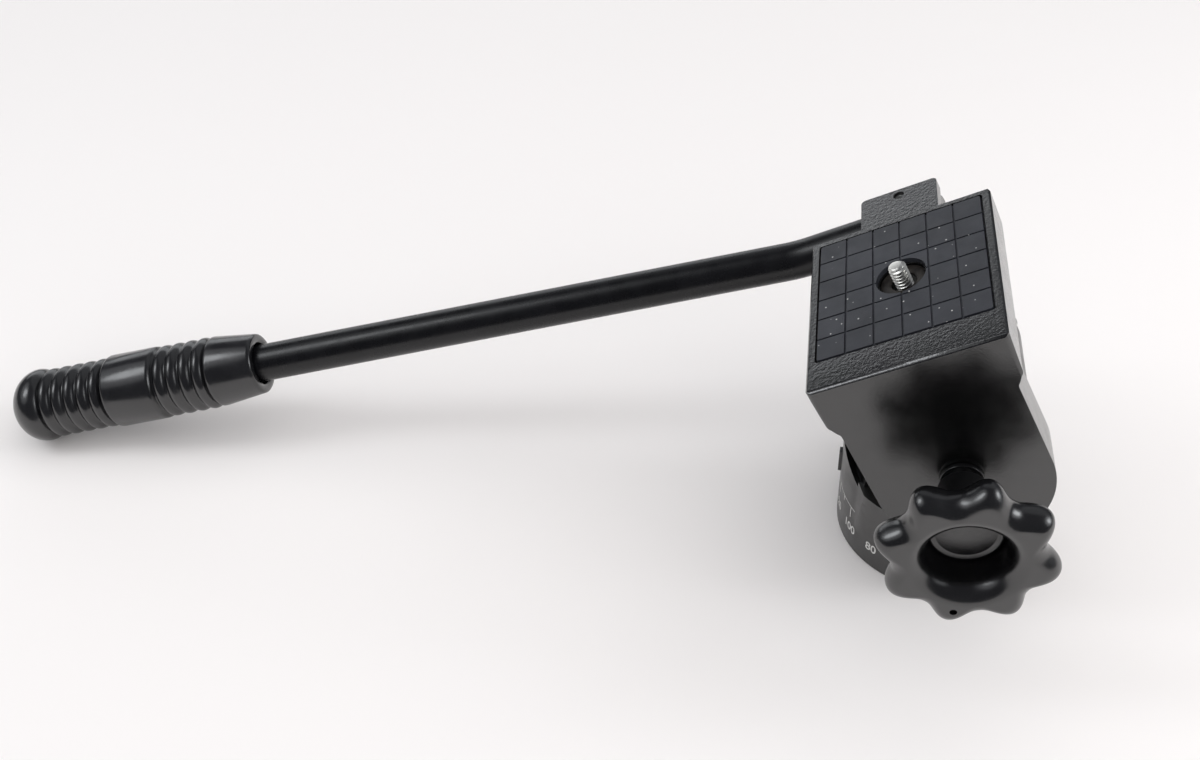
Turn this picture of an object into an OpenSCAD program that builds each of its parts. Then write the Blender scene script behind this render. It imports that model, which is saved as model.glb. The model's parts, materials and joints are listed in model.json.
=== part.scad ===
// Fluid video head: a panning base with a degree ring, a tilting head with a camera pad,
// a star knob that locks the tilt, and a bent handle with a ribbed grip.
// Millimetres. Origin at the centre of the base's bottom face, +Z up, +X to the head's front,
// -Y to the lock knob's side. The head is stored tipped back, with the grip on the table.

/* [Base] */
// outer diameter of the drum with the degree scale
base_d = 74.4; // [73:0.2:77]
// height of the drum's full-round part
base_h = 12.6; // [12:0.2:14]
// diameter of the tripod thread
tripod_thread_d = 9.525; // [6.35:3.175:9.525]

/* [Pan housing] */
// height of the tilt axis above the base's bottom face
axis_height = 67; // [66:0.5:70]
// radius of the rim's curved cut about the tilt axis
trough_r = 46.8; // [45.5:0.1:47.5]
// distance of the housing's flats from the pan axis
flat_y = 21.5; // [20.5:0.1:22]
// radius of the housing's round top
barrel_r = 25.4; // [24.4:0.1:26]

/* [Tilting head] */
// angle that the head is tipped back
rest_tilt = 26.8; // [22:0.2:27]
// length of the platform, front to back
platform_l = 67.6; // [66:0.4:70]
// distance of the knob-side face from the pan axis
near_face = 46.3; // [46:0.1:48]
// distance of the handle-side face from the pan axis
far_face = 34.9; // [34.5:0.1:37]
// height of the platform's top above the tilt axis
platform_top = 52.8; // [52:0.1:55]
// depth of the platform block
block_h = 16.6; // [16:0.2:17.6]
// width of the round-ended cheeks
neck_w = 59.8; // [58:0.2:60]

/* [Pad and camera screw] */
// pad cells along and across
cells = 6; // [4:1:6]
// length of a pad cell
cell_x = 10; // [9:0.1:10]
// width of a pad cell
cell_y = 10.6; // [9:0.1:10.6]
// width of the pad's grooves
groove_w = 0.7; // [0.4:0.1:1]
// diameter of the camera screw
camera_thread_d = 6.35; // [6:0.05:6.5]
// height of the camera screw above the pad
screw_up = 4.6; // [4:0.2:8]

/* [Tilt lock knob] */
// diameter over the knob's lobes
knob_d = 59.6; // [54:0.2:62]
// number of lobes
lobes = 8; // [6:1:9]
// depth of the hollows between the lobes
lobe_depth = 5.2; // [3:0.2:6]
// thickness of the lobed part
knob_t = 12.5; // [12:0.5:15]
// distance from the head's face to the knob's hub
hub_gap = 4.8; // [4:0.2:7]
// length of the knob's hub
hub_l = 20.5; // [19:0.5:23]

/* [Handle] */
// diameter of the handle tube
tube_d = 14.6; // [13.6:0.1:14.8]
// distance of the tube from the pan axis
handle_y = 48.4; // [47.5:0.1:49]
// height of the tube above the tilt axis
handle_z = 40.2; // [39.5:0.1:40.2]
// distance of the tube's bend behind the tilt axis
bend_x = 44.9; // [42:0.1:50]
// angle of the tube's bend
bend_angle = 15.8; // [12:0.1:18]
// turn of the bend about the tube, towards the knob's side
bend_turn = 28.7; // [20:0.1:35]
// length from the bend to the grip's end
reach = 316; // [260:0.2:330]
// length of the grip
grip_l = 101; // [95:0.5:108]
// largest diameter of the grip
grip_d = 28.6; // [27:0.1:30]

/* [Hidden] */
$fn = 96;
gap = 0.3;
base_r = base_d / 2;
// base plate and spindle
plate_r = base_r - 2.7;
plate_h = 6;
foot_r = 12;
journal_r = 8;
post_r = 6.5;
bush_r = 10;
run = 0.04;
disc_t = 0.7;
drum_z = 0.4;
floor_z = plate_h + disc_t + gap;
hub_top = base_h + 4.1;
thread_depth = 10;
// pan housing
deck_z = base_h + 6;
cup_r = base_r - 2.8;
leg_t = 8;
tunnel_top = axis_height - barrel_r - 4;
post_top = tunnel_top - 5;
spindle_nut_h = 4;
lock_r = 3;
lock_room = 0.5;
lock_z = max(post_top - 6, hub_top + gap + spindle_nut_h + lock_r + lock_room);
chamber_r = barrel_r - 5.2;
leg_x = barrel_r + 4.3;
chamber_y = 7 - flat_y;
cover_t = 4.5;
boss_r = 7;
// tilting head
half_l = platform_l / 2;
near_in = flat_y + 7.1;
far_in = far_face - 7.5;
neck_r = neck_w / 2;
neck_drop = 2.6;
block_z = platform_top - block_h;
slab_z = platform_top - 6.3;
wall_x = half_l - 5.8;
wall_draft = 0.8;
step_h = 5.2;
lug_w = 29.4;
lug_l = 19;
lug_t = 4;
lug_z = platform_top - 0.4;
pad_recess = 1.6;
pad_t = 1.8;
pad_room = 0.8;
pad_x = cells * cell_x;
pad_y = cells * cell_y;
pad_top = platform_top - pad_recess + pad_t;
seat_r = 8.6;
seat_z = platform_top - pad_recess - 1.5;
screw_hole_r = 4.5;
camera_r = camera_thread_d / 2;
wheel_r = min(26, far_in - 1, wall_x - 1.5);
wheel_z = block_z + 0.4;
wheel_t = 6.5;
keeper_t = 2;
slot_half = 14;
keeper_x = half_l - 3.4;
keeper_y = slot_half + 3;
// tilt shaft and damper
brake_r = neck_r - 1.3;
apron_y = flat_y - 1.9;
apron_top = axis_height - neck_r - neck_drop + 0.3;
stud_r = 4;
stud_in = 22;
nut_t = 6;
// lock knob
hub_y = near_face + hub_gap;
lobe_y = hub_y + hub_l;
face_y = lobe_y + knob_t;
knob_r = knob_d / 2;
hub_r = 8.5;
recess_r = 12.9;
recess_deep = 17.5;
bowl_r = recess_r + 2.2;
lip_w = 5;
lip_deep = 9;
floor_in = knob_t - recess_deep;
floor_y = lobe_y + floor_in;
cap_r = recess_r - 1;
cap_h = 4.5;
cap_slope = 38;
lobe_turn = 11;
hole_turn = 122.2;
// handle
tube_r = tube_d / 2;
tube_wall = 1.2;
bend_r = 40;
bend_run = bend_r * tan(bend_angle / 2);
tube_out = 12.4;
socket_half = 12;
socket_wall = 3;
clamp_y = far_face + lug_l - 3.8;
bolt_y = far_face + 2.8;
grip_r = grip_d / 2;

casting_col = [0.07, 0.07, 0.075];
ring_col = [0.12, 0.12, 0.12];
knob_col = [0.05, 0.05, 0.055];
steel_col = [0.72, 0.72, 0.7];
brass_col = [0.65, 0.52, 0.25];
rubber_col = [0.2, 0.21, 0.24];
ptfe_col = [0.85, 0.84, 0.8];

// arc of points about c from angle a to b
function arc(c, r, a, b, n) = [for (i = [0:n]) c + r * [cos(a + (b - a) * i / n), sin(a + (b - a) * i / n)]];
// profile points (radius, y) of a piece turned about the Y axis
function about_y(pts) = [for (p = pts) [p[0], -p[1]]];

module tipped() {
    translate([0, 0, axis_height])
        rotate([0, -rest_tilt, 0])
            children();
}

module y_rod(r, y0, y1) {
    translate([0, y1, 0])
        rotate([90, 0, 0])
            cylinder(r = r, h = y1 - y0);
}

module y_extrude(y0, y1) {
    translate([0, y1, 0])
        rotate([90, 0, 0])
            linear_extrude(height = y1 - y0)
                children();
}

module y_turn(pts) {
    rotate([90, 0, 0])
        rotate_extrude()
            polygon(about_y(pts));
}

module tube_ring(r_out, r_in, h) {
    difference() {
        cylinder(r = r_out, h = h);
        translate([0, 0, -1])
            cylinder(r = r_in, h = h + 2);
    }
}

module round_rect(x, y, r) {
    polygon(concat(arc([x - r, y - r], r, 0, 90, 6), arc([r - x, y - r], r, 90, 180, 6),
                   arc([r - x, r - y], r, 180, 270, 6), arc([x - r, r - y], r, 270, 360, 6)));
}

// Base

module base_plate() {
    color(ring_col)
        rotate_extrude($fn = 144)
            polygon([[foot_r, 0], [foot_r + 7, 0], [foot_r + 7, 1.2], [plate_r - 4.5, 1.2],
                     [plate_r - 4.5, 0], [plate_r - 0.6, 0],
                     [plate_r, 0.6], [plate_r, plate_h], [foot_r, plate_h]]);
}

module thread_bush() {
    color(brass_col)
        tube_ring(post_r, tripod_thread_d / 2, thread_depth);
}

module pan_spindle() {
    color(steel_col)
        rotate_extrude()
            polygon([[post_r, 0], [foot_r, 0], [foot_r, plate_h], [journal_r, plate_h],
                     [journal_r, hub_top + gap], [post_r, hub_top + gap], [post_r, post_top - 1],
                     [post_r - 1, post_top], [0, post_top], [0, thread_depth + 0.4],
                     [post_r, thread_depth + 0.4]]);
}

module pan_disc() {
    color(ptfe_col)
        translate([0, 0, plate_h])
            tube_ring(plate_r - 3.5, foot_r + 1, disc_t);
}

module spindle_nut() {
    color(steel_col)
        translate([0, 0, hub_top + gap])
            difference() {
                cylinder(r = post_r + 5, h = spindle_nut_h, $fn = 6);
                translate([0, 0, -1])
                    cylinder(r = post_r, h = spindle_nut_h + 2);
            }
}

// Pan housing: a drum with two flats, a curved rim at each end and a round-topped barrel
// that carries the tilt shaft and holds the damper

module drum() {
    difference() {
        translate([0, 0, drum_z])
            cylinder(r = base_r, h = axis_height - 20, $fn = 144);
        // inside, under the floor and above the deck
        translate([0, 0, -1])
            cylinder(r = plate_r + 0.5, h = floor_z + 1, $fn = 144);
        translate([0, 0, deck_z])
            cylinder(r = cup_r, h = 60, $fn = 144);
        translate([0, 0, axis_height])
            y_rod(trough_r, -60, 60, $fn = 192);
        for (s = [-1, 1])
            translate([-60, s > 0 ? flat_y : -60 - flat_y, base_h])
                cube([120, 60, 60]);
    }
}

// apron on the knob's side, leaning outwards from the ring to the cheek's lower end
module apron() {
    x_end = sqrt(base_r * base_r - apron_y * apron_y);
    difference() {
        intersection() {
            translate([0, 0, base_h - 2])
                cylinder(r1 = base_r, r2 = base_r + 2.3, h = apron_top - base_h + 2, $fn = 144);
            linear_extrude(height = 60)
                polygon([[-x_end, -apron_y], [7.5 - x_end, -apron_y - 25],
                         [x_end - 7.5, -apron_y - 25], [x_end, -apron_y]]);
        }
        translate([0, 0, base_h - 3])
            cylinder(r = cup_r, h = 60, $fn = 144);
        translate([0, 0, axis_height])
            y_rod(neck_r + neck_drop + 1, -60, 0, $fn = 144);
    }
}

module barrel_outline() {
    polygon(concat([[-leg_x, base_h - 1], [leg_x, base_h - 1], [leg_x, base_h + 22]],
                   arc([0, axis_height], barrel_r, -8, 188, 49), [[-leg_x, base_h + 22]]));
}

module pan_housing() {
    color(casting_col)
        difference() {
            union() {
                drum();
                apron();
                y_extrude(-flat_y, flat_y)
                    barrel_outline();
                rotate([0, 0, 176])
                    translate([base_r - 1, -1.5, deck_z + 1])
                        cube([2.1, 3, 9.4]);
                translate([0, 0, lock_z])
                    y_rod(boss_r, flat_y - 1, flat_y + 4);
            }
            // tunnel from front to back round the spindle
            translate([-leg_x - 1, leg_t - flat_y, deck_z])
                cube([2 * leg_x + 2, 2 * (flat_y - leg_t), tunnel_top - deck_z]);
            translate([0, 0, floor_z - 1])
                cylinder(r = bush_r, h = 20);
            translate([0, 0, hub_top])
                cylinder(r = post_r + 6.5, h = tunnel_top - hub_top);
            // damper chamber, open on the handle's side
            translate([0, 0, axis_height])
                y_rod(chamber_r, chamber_y, flat_y + 1);
            translate([0, 0, axis_height])
                y_rod(bush_r, -flat_y - 1, flat_y);
            translate([0, 0, lock_z])
                y_rod(lock_r + run, 0, flat_y + 10);
        }
}

module pan_bush() {
    color(brass_col)
        translate([0, 0, floor_z])
            tube_ring(bush_r, journal_r + run, hub_top - floor_z);
}

module tilt_bush() {
    color(brass_col)
        translate([0, 0, axis_height])
            difference() {
                y_rod(bush_r, -flat_y, chamber_y);
                y_rod(journal_r + run, -flat_y - 1, chamber_y + 1);
            }
}

module chamber_cover() {
    color(ring_col)
        translate([0, 0, axis_height])
            difference() {
                y_rod(chamber_r, flat_y - cover_t, flat_y);
                y_rod(journal_r + run, 0, 60);
                for (a = [45:90:315])
                    rotate([0, a, 0])
                        translate([chamber_r - 5, 0, 0])
                            y_rod(1.6, flat_y - 1.5, flat_y + 1, $fn = 32);
            }
}

// Pan lock, on the handle's side

module pan_knob() {
    start = flat_y + 4.3;
    color(knob_col)
        translate([0, 0, lock_z])
            difference() {
                union() {
                    y_rod(6, start, start + 3);
                    y_extrude(start + 3, start + 12)
                        polygon([for (a = [0:5:355]) (9.2 + 0.8 * cos(6 * a)) * [cos(a), sin(a)]]);
                    y_turn([[0, start + 11], [8.2, start + 11], [8.2, start + 12],
                            [6.8, start + 13.2], [0, start + 13.2]]);
                }
                y_rod(lock_r, start - 1, start + 10);
            }
}

module pan_lock_screw() {
    color(steel_col)
        translate([0, 0, lock_z])
            y_rod(lock_r, post_r + 4, flat_y + 14.3);
}

module pan_lock_tip() {
    color(brass_col)
        translate([0, 0, lock_z])
            y_rod(lock_r, post_r + 0.4, post_r + 4);
}

// Tilting head

module head_outline() {
    right = concat([[half_l, platform_top]],
                   arc([half_l - 3 - wall_draft, block_z + 1.2], 3, 0, -48, 6),
                   arc([neck_r + 2.4, block_z - step_h], 2.4, 132, 180, 5),
                   arc([0, -neck_drop], neck_r, 0, -90, 24));
    left = [for (i = [len(right) - 1:-1:0]) [-right[i][0], right[i][1]]];
    polygon(concat(right, left));
}

module head_casting() {
    mid_y = (far_face - near_face) / 2;
    color(casting_col)
        tipped()
            difference() {
                union() {
                    intersection() {
                        y_extrude(-near_face, far_face)
                            head_outline();
                        translate([0, mid_y, -60])
                            linear_extrude(height = 160)
                                round_rect(half_l, (far_face + near_face) / 2, 2);
                    }
                    translate([0, far_face + lug_l / 2 - 3, lug_z - lug_t])
                        linear_extrude(height = lug_t)
                            round_rect(lug_w / 2, lug_l / 2 + 3, 2);
                }
                // space behind the cheek, room for the wheel and its slot in the rear wall
                translate([-60, -near_in, -80])
                    cube([120, 160, 80 + block_z]);
                translate([-wall_x, -near_in, 0])
                    cube([2 * wall_x, near_in + far_in, slab_z]);
                translate([-60, -slot_half, 0])
                    cube([60, 2 * slot_half, block_z + 8.3]);
                // bevels round the platform's top
                for (s = [-1, 1])
                    translate([s * half_l, 0, platform_top])
                        rotate([0, 45, 0])
                            cube([1, 120, 1], center = true);
                for (y = [-near_face, far_face])
                    translate([0, y, platform_top])
                        rotate([45, 0, 0])
                            cube([120, y < 0 ? 1.6 : 0.4, y < 0 ? 1.6 : 0.4], center = true);
                // pad recess, washer seat and camera screw hole
                translate([0, 0, platform_top - pad_recess])
                    linear_extrude(height = 10)
                        round_rect(pad_x / 2 + pad_room, pad_y / 2 + pad_room, 1.2);
                translate([0, 0, seat_z])
                    cylinder(r = seat_r, h = 10);
                translate([0, 0, slab_z - 1])
                    cylinder(r = screw_hole_r, h = 20);
                // set screw in the lug
                translate([0, clamp_y, lug_z - 10])
                    cylinder(r = 2.1, h = 20, $fn = 48);
                // tilt shaft, socket bolts and keeper screws
                y_rod(journal_r, -near_face - 1, 0);
                for (s = [-1, 1]) {
                    translate([s * 8, bolt_y, lug_z - lug_t - 1])
                        cylinder(r = 1.6, h = 3.6, $fn = 48);
                    translate([s * keeper_x, -s * keeper_y, block_z - 1])
                        cylinder(r = 1.5, h = 6, $fn = 48);
                }
            }
}

module rubber_pad() {
    x = pad_x / 2;
    y = pad_y / 2;
    color(rubber_col)
        tipped()
            difference() {
                translate([0, 0, pad_top - pad_t])
                    linear_extrude(height = pad_t)
                        round_rect(x, y, 1);
                translate([0, 0, pad_top - pad_t - 1])
                    cylinder(r = 9, h = 10);
                for (i = [1:cells - 1]) {
                    translate([i * cell_x - x - groove_w / 2, -y - 1, pad_top - 0.6])
                        cube([groove_w, 2 * y + 2, 2]);
                    translate([-x - 1, i * cell_y - y - groove_w / 2, pad_top - 0.6])
                        cube([2 * x + 2, groove_w, 2]);
                }
            }
}

module screw_washer() {
    color(brass_col)
        tipped()
            translate([0, 0, seat_z])
                tube_ring(8.2, screw_hole_r, 1);
}

module tilt_shaft() {
    color(steel_col)
        tipped()
            difference() {
                y_rod(journal_r, -near_face, flat_y + nut_t + 4);
                y_rod(stud_r + run, -near_face - 1, -near_face + stud_in + 1);
            }
}

module nut_washer() {
    color(steel_col)
        tipped()
            difference() {
                y_rod(journal_r + 5, flat_y + gap, flat_y + gap + 1.6);
                y_rod(journal_r, flat_y - 1, flat_y + 9);
            }
}

module shaft_nut() {
    start = flat_y + gap + 1.6;
    color(steel_col)
        tipped()
            difference() {
                y_rod(journal_r + 4.4, start, start + nut_t, $fn = 6);
                y_rod(journal_r, start - 1, start + nut_t + 1);
            }
}

module brake_disc() {
    color(ring_col)
        tipped()
            difference() {
                y_rod(brake_r, -near_in, -flat_y - gap);
                y_rod(journal_r, -near_in - 1, 0);
            }
}

module damper_rotor() {
    front = chamber_y + 0.5;
    back = flat_y - cover_t - 0.5;
    rim = chamber_r - 0.6;
    color(ring_col)
        tipped()
            y_turn([[journal_r, front], [rim, front], [rim, front + 6], [rim - 5, front + 8],
                    [rim - 5, back - 8], [rim, back - 6], [rim, back], [journal_r, back]]);
}

// Handle

module handle_socket() {
    out_r = tube_r + socket_wall;
    top = lug_z - lug_t;
    color(casting_col)
        tipped()
            difference() {
                union() {
                    translate([-socket_half, far_face, handle_z - out_r])
                        cube([2 * socket_half, handle_y - far_face, top - handle_z + out_r]);
                    intersection() {
                        translate([-socket_half, handle_y, handle_z])
                            rotate([0, 90, 0])
                                cylinder(r = out_r, h = 2 * socket_half);
                        translate([-50, 0, 0])
                            cube([100, 100, top]);
                    }
                }
                translate([-50, handle_y, handle_z])
                    rotate([0, 90, 0])
                        cylinder(r = tube_r, h = 100);
                translate([0, clamp_y, handle_z])
                    cylinder(r = 2.1, h = 20, $fn = 48);
                for (s = [-1, 1])
                    translate([s * 8, bolt_y, handle_z - out_r - 1])
                        cylinder(r = 1.6, h = 40, $fn = 48);
            }
}

module socket_bolt(s) {
    low = handle_z - tube_r - socket_wall;
    color(steel_col)
        tipped()
            translate([s * 8, bolt_y, low])
                difference() {
                    union() {
                        cylinder(r = 1.6, h = lug_z - lug_t - low + 2.4, $fn = 48);
                        translate([0, 0, -2.4])
                            cylinder(r = 2.7, h = 2.4, $fn = 48);
                    }
                    translate([0, 0, -3])
                        cylinder(r = 1.4, h = 2, $fn = 6);
                }
}

module socket_bolt_front() {
    socket_bolt(1);
}

module socket_bolt_rear() {
    socket_bolt(-1);
}

// set screw through the lug, against the tube
module clamp_screw() {
    off = clamp_y - handle_y;
    low = handle_z + sqrt(tube_r * tube_r - pow(max(abs(off) - 2.1, 0), 2)) + 0.02;
    color(steel_col)
        tipped()
            translate([0, clamp_y, low])
                difference() {
                    cylinder(r = 2.1, h = lug_z - 1 - low, $fn = 48);
                    translate([0, 0, lug_z - 2.2 - low])
                        cylinder(r = 1.1, h = 5, $fn = 6);
                }
}

// the tube runs along -X, then bends; its own frame starts at the bend's corner
module handle_frame() {
    tipped()
        translate([-bend_x, handle_y, handle_z])
            rotate([bend_turn, 0, 0])
                children();
}

// stations along the tube: position and turn, straight, round the bend, then straight again
function tube_path(front, rear) = concat(
    [[[front, 0, 0], 0]],
    [for (k = [0:8]) let (a = bend_angle * k / 8)
        [[bend_run - bend_r * sin(a), 0, bend_r * (1 - cos(a))], a]],
    [[[-rear * cos(bend_angle), 0, rear * sin(bend_angle)], bend_angle]]);

module handle_tube() {
    n = 48;
    path = tube_path(bend_x + tube_out, reach - 14);
    m = len(path);
    pts = [for (r = [tube_r, tube_r - tube_wall], s = path, i = [0:n - 1])
           s[0] + r * [sin(s[1]) * sin(360 * i / n), cos(360 * i / n), cos(s[1]) * sin(360 * i / n)]];
    outer = [for (j = [0:m - 2], i = [0:n - 1]) let (k = (i + 1) % n)
             [j * n + i, j * n + k, (j + 1) * n + k, (j + 1) * n + i]];
    inner = [for (j = [m:2 * m - 2], i = [0:n - 1]) let (k = (i + 1) % n)
             [j * n + i, (j + 1) * n + i, (j + 1) * n + k, j * n + k]];
    front = [for (i = [0:n - 1]) let (k = (i + 1) % n) [m * n + i, m * n + k, k, i]];
    rear = [for (i = [0:n - 1]) let (k = (i + 1) % n, q = (m - 1) * n, w = (2 * m - 1) * n)
            [q + i, q + k, w + k, w + i]];
    color(knob_col)
        handle_frame()
            polyhedron(pts, concat(outer, inner, front, rear));
}

module tube_plug() {
    color(knob_col)
        handle_frame()
            translate([bend_x + tube_out - 8, 0, 0])
                rotate([0, 90, 0])
                    rotate_extrude()
                        polygon([[0, 0], [tube_r - tube_wall, 0], [tube_r - tube_wall, 8], [tube_r, 8],
                                 [tube_r, 8.6], [tube_r - 1.2, 9.6], [0, 9.6]]);
}

// grip outline, from its closed end: dome, rings, plain band, rings, cone
function ring_run(z0, n, pitch, crest, root) = [for (i = [0:n - 1], k = [0:5])
    [root + (crest - root) * sin(10 + 32 * k), z0 + i * pitch + pitch * (0.1 + 0.16 * k)]];

module handle_grip() {
    u = grip_l / 101;
    dome = [for (a = [90:-9:0]) [(grip_r + 0.1) * cos(a), 9.6 * u * (1 - sin(a))]];
    color(knob_col)
        handle_frame()
            rotate([0, bend_angle, 0])
                translate([-reach, 0, 0])
                    rotate([0, 90, 0])
                        rotate_extrude()
                            polygon(concat(dome,
                                [[grip_r - 0.2, 10.6 * u], [grip_r - 0.9, 11.8 * u],
                                 [grip_r - 1.9, 12.7 * u]],
                                ring_run(12.9 * u, 5, 5.12 * u, grip_r - 0.8, grip_r - 2.4),
                                [[grip_r - 1.9, 39 * u], [grip_r - 0.4, 39.8 * u], [grip_r, 40.5 * u],
                                 [grip_r, 58.3 * u], [grip_r - 0.4, 59 * u], [grip_r - 1.7, 59.8 * u]],
                                ring_run(60 * u, 4, 5.25 * u, grip_r - 0.2, grip_r - 1.8),
                                [[grip_r - 1.5, 81.1 * u], [grip_r - 0.6, 81.9 * u],
                                 [grip_r - 0.5, 82.9 * u], [grip_r - 2.5, grip_l - 1.2],
                                 [grip_r - 3.3, grip_l], [tube_r + 1, grip_l],
                                 [tube_r + 1, grip_l - 4], [tube_r, grip_l - 4.4],
                                 [tube_r, 14], [0, 14]]));
}

// Tilt lock

// lobed outline: radius at angle a
function lobe_r(a) = knob_r - lobe_depth * (1 - pow(0.5 + 0.5 * cos(lobes * (a - lobe_turn)), 1.25));

// the knob in one skin of rings, from the end of the stud's hole round the hub, the bowl behind
// the recess, the lobes and the face to the recess's floor; a ring is [inset from the lobed
// outline, height], or
// [radius, height, 0] when it is round
module knob_skin() {
    n = lobes * 10;
    mid = knob_t / 2;
    hub = [[stud_r, floor_in - 1.5, 0], [stud_r, -hub_l, 0], [hub_r - 0.8, -hub_l, 0],
           [hub_r, 0.8 - hub_l, 0], [hub_r, floor_in - 6, 0], [bowl_r - 1.6, floor_in - 1.9, 0],
           [bowl_r, floor_in - 0.4, 0], [bowl_r + 0.3, -1, 0], [bowl_r + 1.6, 0, 0]];
    rim = [[7, 0], [3.6, 0.5], [1.5, 2], [0.3, 4.4], [0, mid], [0.3, knob_t - 4.4],
           [1.5, knob_t - 2], [3.6, knob_t - 0.5], [7, knob_t]];
    lip = [for (p = arc([0, 0], 1, 96, 180, 8))
           [recess_r + 0.2 + lip_w * (1 + p[0]), knob_t + lip_deep * (p[1] - 1), 0]];
    dish = concat(lip, [[recess_r, floor_in, 0]]);
    rings = concat(hub, rim, dish);
    m = len(rings);
    pts = [for (s = rings, i = [0:n - 1])
           let (a = 360 * i / n, r = len(s) == 3 ? s[0] : lobe_r(a) - s[0])
           [r * cos(a), r * sin(a), s[1]]];
    low = [for (j = [0:m - 2], i = [0:n - 1]) [j * n + i, (j + 1) * n + i, (j + 1) * n + (i + 1) % n]];
    high = [for (j = [0:m - 2], i = [0:n - 1]) [j * n + i, (j + 1) * n + (i + 1) % n, j * n + (i + 1) % n]];
    polyhedron(pts, concat([[for (i = [0:n - 1]) i]], low, high,
                           [[for (i = [n - 1:-1:0]) (m - 1) * n + i]]));
}

module star_knob() {
    color(knob_col)
        tipped()
            difference() {
                translate([0, -lobe_y, 0])
                    rotate([90, 0, 0])
                        knob_skin();
                rotate([0, hole_turn, 0])
                    translate([knob_r - 7.6, 0, 0])
                        y_rod(1.25, -face_y - 1, 5 - face_y, $fn = 32);
            }
}

// a disc with a flat rim and a round hollow, seated on the recess's floor
module knob_cap() {
    face = -floor_y - cap_h;
    hollow_r = (cap_r - 2) / sin(cap_slope);
    hollow = [for (i = [5:-1:0]) let (a = cap_slope * i / 5)
              [hollow_r * sin(a), face + hollow_r * (cos(a) - cos(cap_slope))]];
    color(knob_col)
        tipped()
            y_turn(concat([[0, -floor_y], [cap_r + 0.5, -floor_y], [cap_r + 0.5, -floor_y - 1.4],
                           [cap_r, -floor_y - 1.8], [cap_r, face + 0.4], [cap_r - 0.4, face]],
                          hollow));
}

module knob_stud() {
    color(steel_col)
        tipped()
            y_rod(stud_r, -floor_y + 1.5, -near_face + stud_in);
}

module thrust_washer() {
    color(knob_col)
        tipped()
            difference() {
                y_rod(7.5, -near_face - gap - 1.6, -near_face - gap);
                y_rod(stud_r, -near_face - 10, -near_face);
            }
}

// Camera screw

module camera_screw() {
    tip = pad_top + screw_up;
    low = block_z - keeper_t;
    core_r = camera_r - 0.2;
    color(steel_col)
        tipped()
            rotate_extrude($fn = 64)
                polygon([[0, low], [2.6, low], [2.6, wheel_z + 0.4], [camera_r, wheel_z + 0.4],
                         [camera_r, wheel_z + wheel_t], [5.6, wheel_z + wheel_t], [5.6, slab_z - gap],
                         [core_r, slab_z - gap], [core_r, pad_top], [camera_r, pad_top],
                         [camera_r, tip - 0.9], [camera_r - 0.9, tip], [0, tip]]);
}

module thumb_wheel() {
    color(knob_col)
        tipped()
            translate([0, 0, wheel_z])
                difference() {
                    linear_extrude(height = wheel_t)
                        polygon([for (i = [0:119]) (wheel_r - 0.4 * (i % 2)) * [cos(3 * i), sin(3 * i)]]);
                    translate([0, 0, -1])
                        cylinder(r = 2.6, h = 1.4);
                    translate([0, 0, 0.4])
                        cylinder(r = camera_r, h = wheel_t);
                }
}

module wheel_keeper() {
    color(steel_col)
        tipped()
            difference() {
                translate([0, 0, block_z - keeper_t])
                    linear_extrude(height = keeper_t)
                        round_rect(half_l - 1.6, keeper_y + 3, 2);
                translate([0, 0, block_z - 10])
                    cylinder(r = 2.6 + run, h = 20, $fn = 64);
                for (s = [-1, 1])
                    translate([s * keeper_x, -s * keeper_y, block_z - 10])
                        cylinder(r = 1.5, h = 20, $fn = 48);
            }
}

module keeper_screw(s) {
    color(steel_col)
        tipped()
            translate([s * keeper_x, -s * keeper_y, block_z - keeper_t])
                union() {
                    cylinder(r = 1.5, h = keeper_t + 4.8, $fn = 48);
                    translate([0, 0, -1.6])
                        cylinder(r = 2.2, h = 1.6, $fn = 48);
                }
}

module keeper_screw_front() {
    keeper_screw(1);
}

module keeper_screw_rear() {
    keeper_screw(-1);
}

base_plate();
thread_bush();
pan_spindle();
pan_disc();
spindle_nut();
pan_housing();
pan_bush();
tilt_bush();
chamber_cover();
pan_knob();
pan_lock_screw();
pan_lock_tip();
head_casting();
rubber_pad();
screw_washer();
tilt_shaft();
shaft_nut();
nut_washer();
brake_disc();
damper_rotor();
handle_socket();
socket_bolt_front();
socket_bolt_rear();
clamp_screw();
handle_tube();
tube_plug();
handle_grip();
wheel_keeper();
keeper_screw_front();
keeper_screw_rear();
star_knob();
knob_cap();
knob_stud();
thrust_washer();
camera_screw();
thumb_wheel();
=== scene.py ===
# %% [markdown]
# # A fluid video head for a tripod
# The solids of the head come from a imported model, in metres, with the head tipped back and the
# grip resting on the table. This lesson dresses them: rounded edges, wrinkle paint, a grid-cut
# rubber pad, a threaded camera screw, a lobed knob, a bent tube, a ribbed grip and a degree scale.

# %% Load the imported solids
import json
from math import atan2, cos, degrees, hypot, pi, radians, sin, tan

import bmesh
import bpy
from mathutils import Matrix, Vector


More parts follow.
